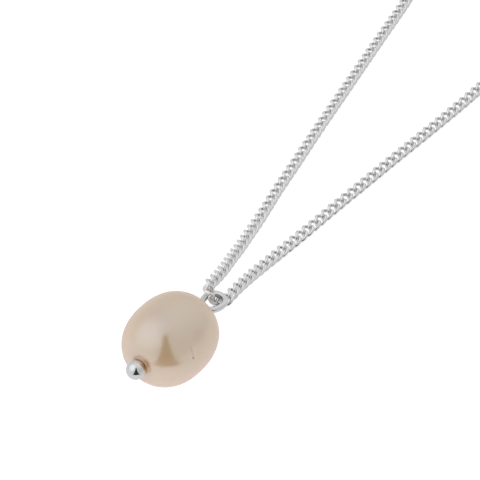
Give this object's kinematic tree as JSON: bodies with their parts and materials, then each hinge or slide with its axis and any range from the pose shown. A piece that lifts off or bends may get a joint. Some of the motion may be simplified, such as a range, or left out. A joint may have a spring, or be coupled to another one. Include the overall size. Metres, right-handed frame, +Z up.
{
  "type": "pearl pendant necklace",
  "caption": "Off-round pearl on a ball-ended silver pin whose loop hangs on a fine curb chain, closed by a spring-ring clasp.",
  "frame": {"origin": "On the table under the middle of the pendant (pearl and pin), which lies on its side.", "axes": "+Z up from the table; +Y along the pin as seen from above, from its ball to its loop; +X to the right of that."},
  "size_m": [0.0232, 0.1017, 0.0085],
  "materials": {
    "pearl": "satin",
    "pin_silver": "polished",
    "chain_silver": "polished",
    "clasp_silver": "polished",
    "spring_steel": "satin"
  },
  "bodies": {
    "chain": {"middle_link": "chain_silver", "left_link_1": "chain_silver", "left_link_2": "chain_silver", "left_link_3": "chain_silver", "left_link_4": "chain_silver", "left_link_5": "chain_silver", "left_link_6": "chain_silver", "left_link_7": "chain_silver", "left_link_8": "chain_silver", "left_link_9": "chain_silver", "left_link_10": "chain_silver", "right_link_1": "chain_silver", "right_link_2": "chain_silver", "right_link_3": "chain_silver", "right_link_4": "chain_silver", "right_link_5": "chain_silver", "right_link_6": "chain_silver", "right_link_7": "chain_silver", "right_link_8": "chain_silver", "right_link_9": "chain_silver", "right_link_10": "chain_silver", "left_strand": "chain_silver", "right_strand": "chain_silver", "left_coil": "chain_silver", "right_coil": "chain_silver", "left_tail": "chain_silver", "right_tail": "chain_silver", "left_end_link": "chain_silver", "right_end_link": "chain_silver"},
    "pin": {"headpin": "pin_silver"},
    "pearl": {"pearl": "pearl"},
    "end_ring": {"end_ring": "clasp_silver"},
    "jump_ring": {"jump_ring": "clasp_silver"},
    "clasp": {"clasp_body": "clasp_silver", "clasp_spring": "spring_steel"},
    "bolt": {"clasp_bolt": "clasp_silver"}
  },
  "joints": [
    {"name": "pendant_swing", "type": "hinge", "parent": "chain", "child": "pin", "pos_m": [0, 0.00607, 0.00362], "axis": [0, 0, 1], "range_deg": [-60, 60]},
    {"name": "pearl_spin", "type": "hinge", "parent": "pin", "child": "pearl", "pos_m": [0, -0.00105, 0.00427], "axis": [0, 0.9976, -0.0698], "continuous": true},
    {"name": "end_ring_swing", "type": "hinge", "parent": "chain", "child": "end_ring", "pos_m": [-0.0174, 0.08244, 0.0005], "axis": [0.9939, -0.1104, 0], "range_deg": [-60, 90]},
    {"name": "jump_ring_swing", "type": "hinge", "parent": "chain", "child": "jump_ring", "pos_m": [-0.00547, 0.08715, 0.0006], "axis": [0.9231, 0.3846, 0], "range_deg": [-60, 90]},
    {"name": "clasp_swing", "type": "hinge", "parent": "jump_ring", "child": "clasp", "pos_m": [-0.00609, 0.08862, 0.0006], "axis": [0.9231, 0.3846, 0], "range_deg": [-60, 60]},
    {"name": "bolt_draw", "type": "hinge", "parent": "clasp", "child": "bolt", "pos_m": [-0.00728, 0.0915, 0.0006], "axis": [0, 0, -1], "range_deg": [0, 80], "stiffness_Nm_per_rad": 0.0004, "springref_deg": -34.38, "deforming": ["clasp_spring"]}
  ]
}
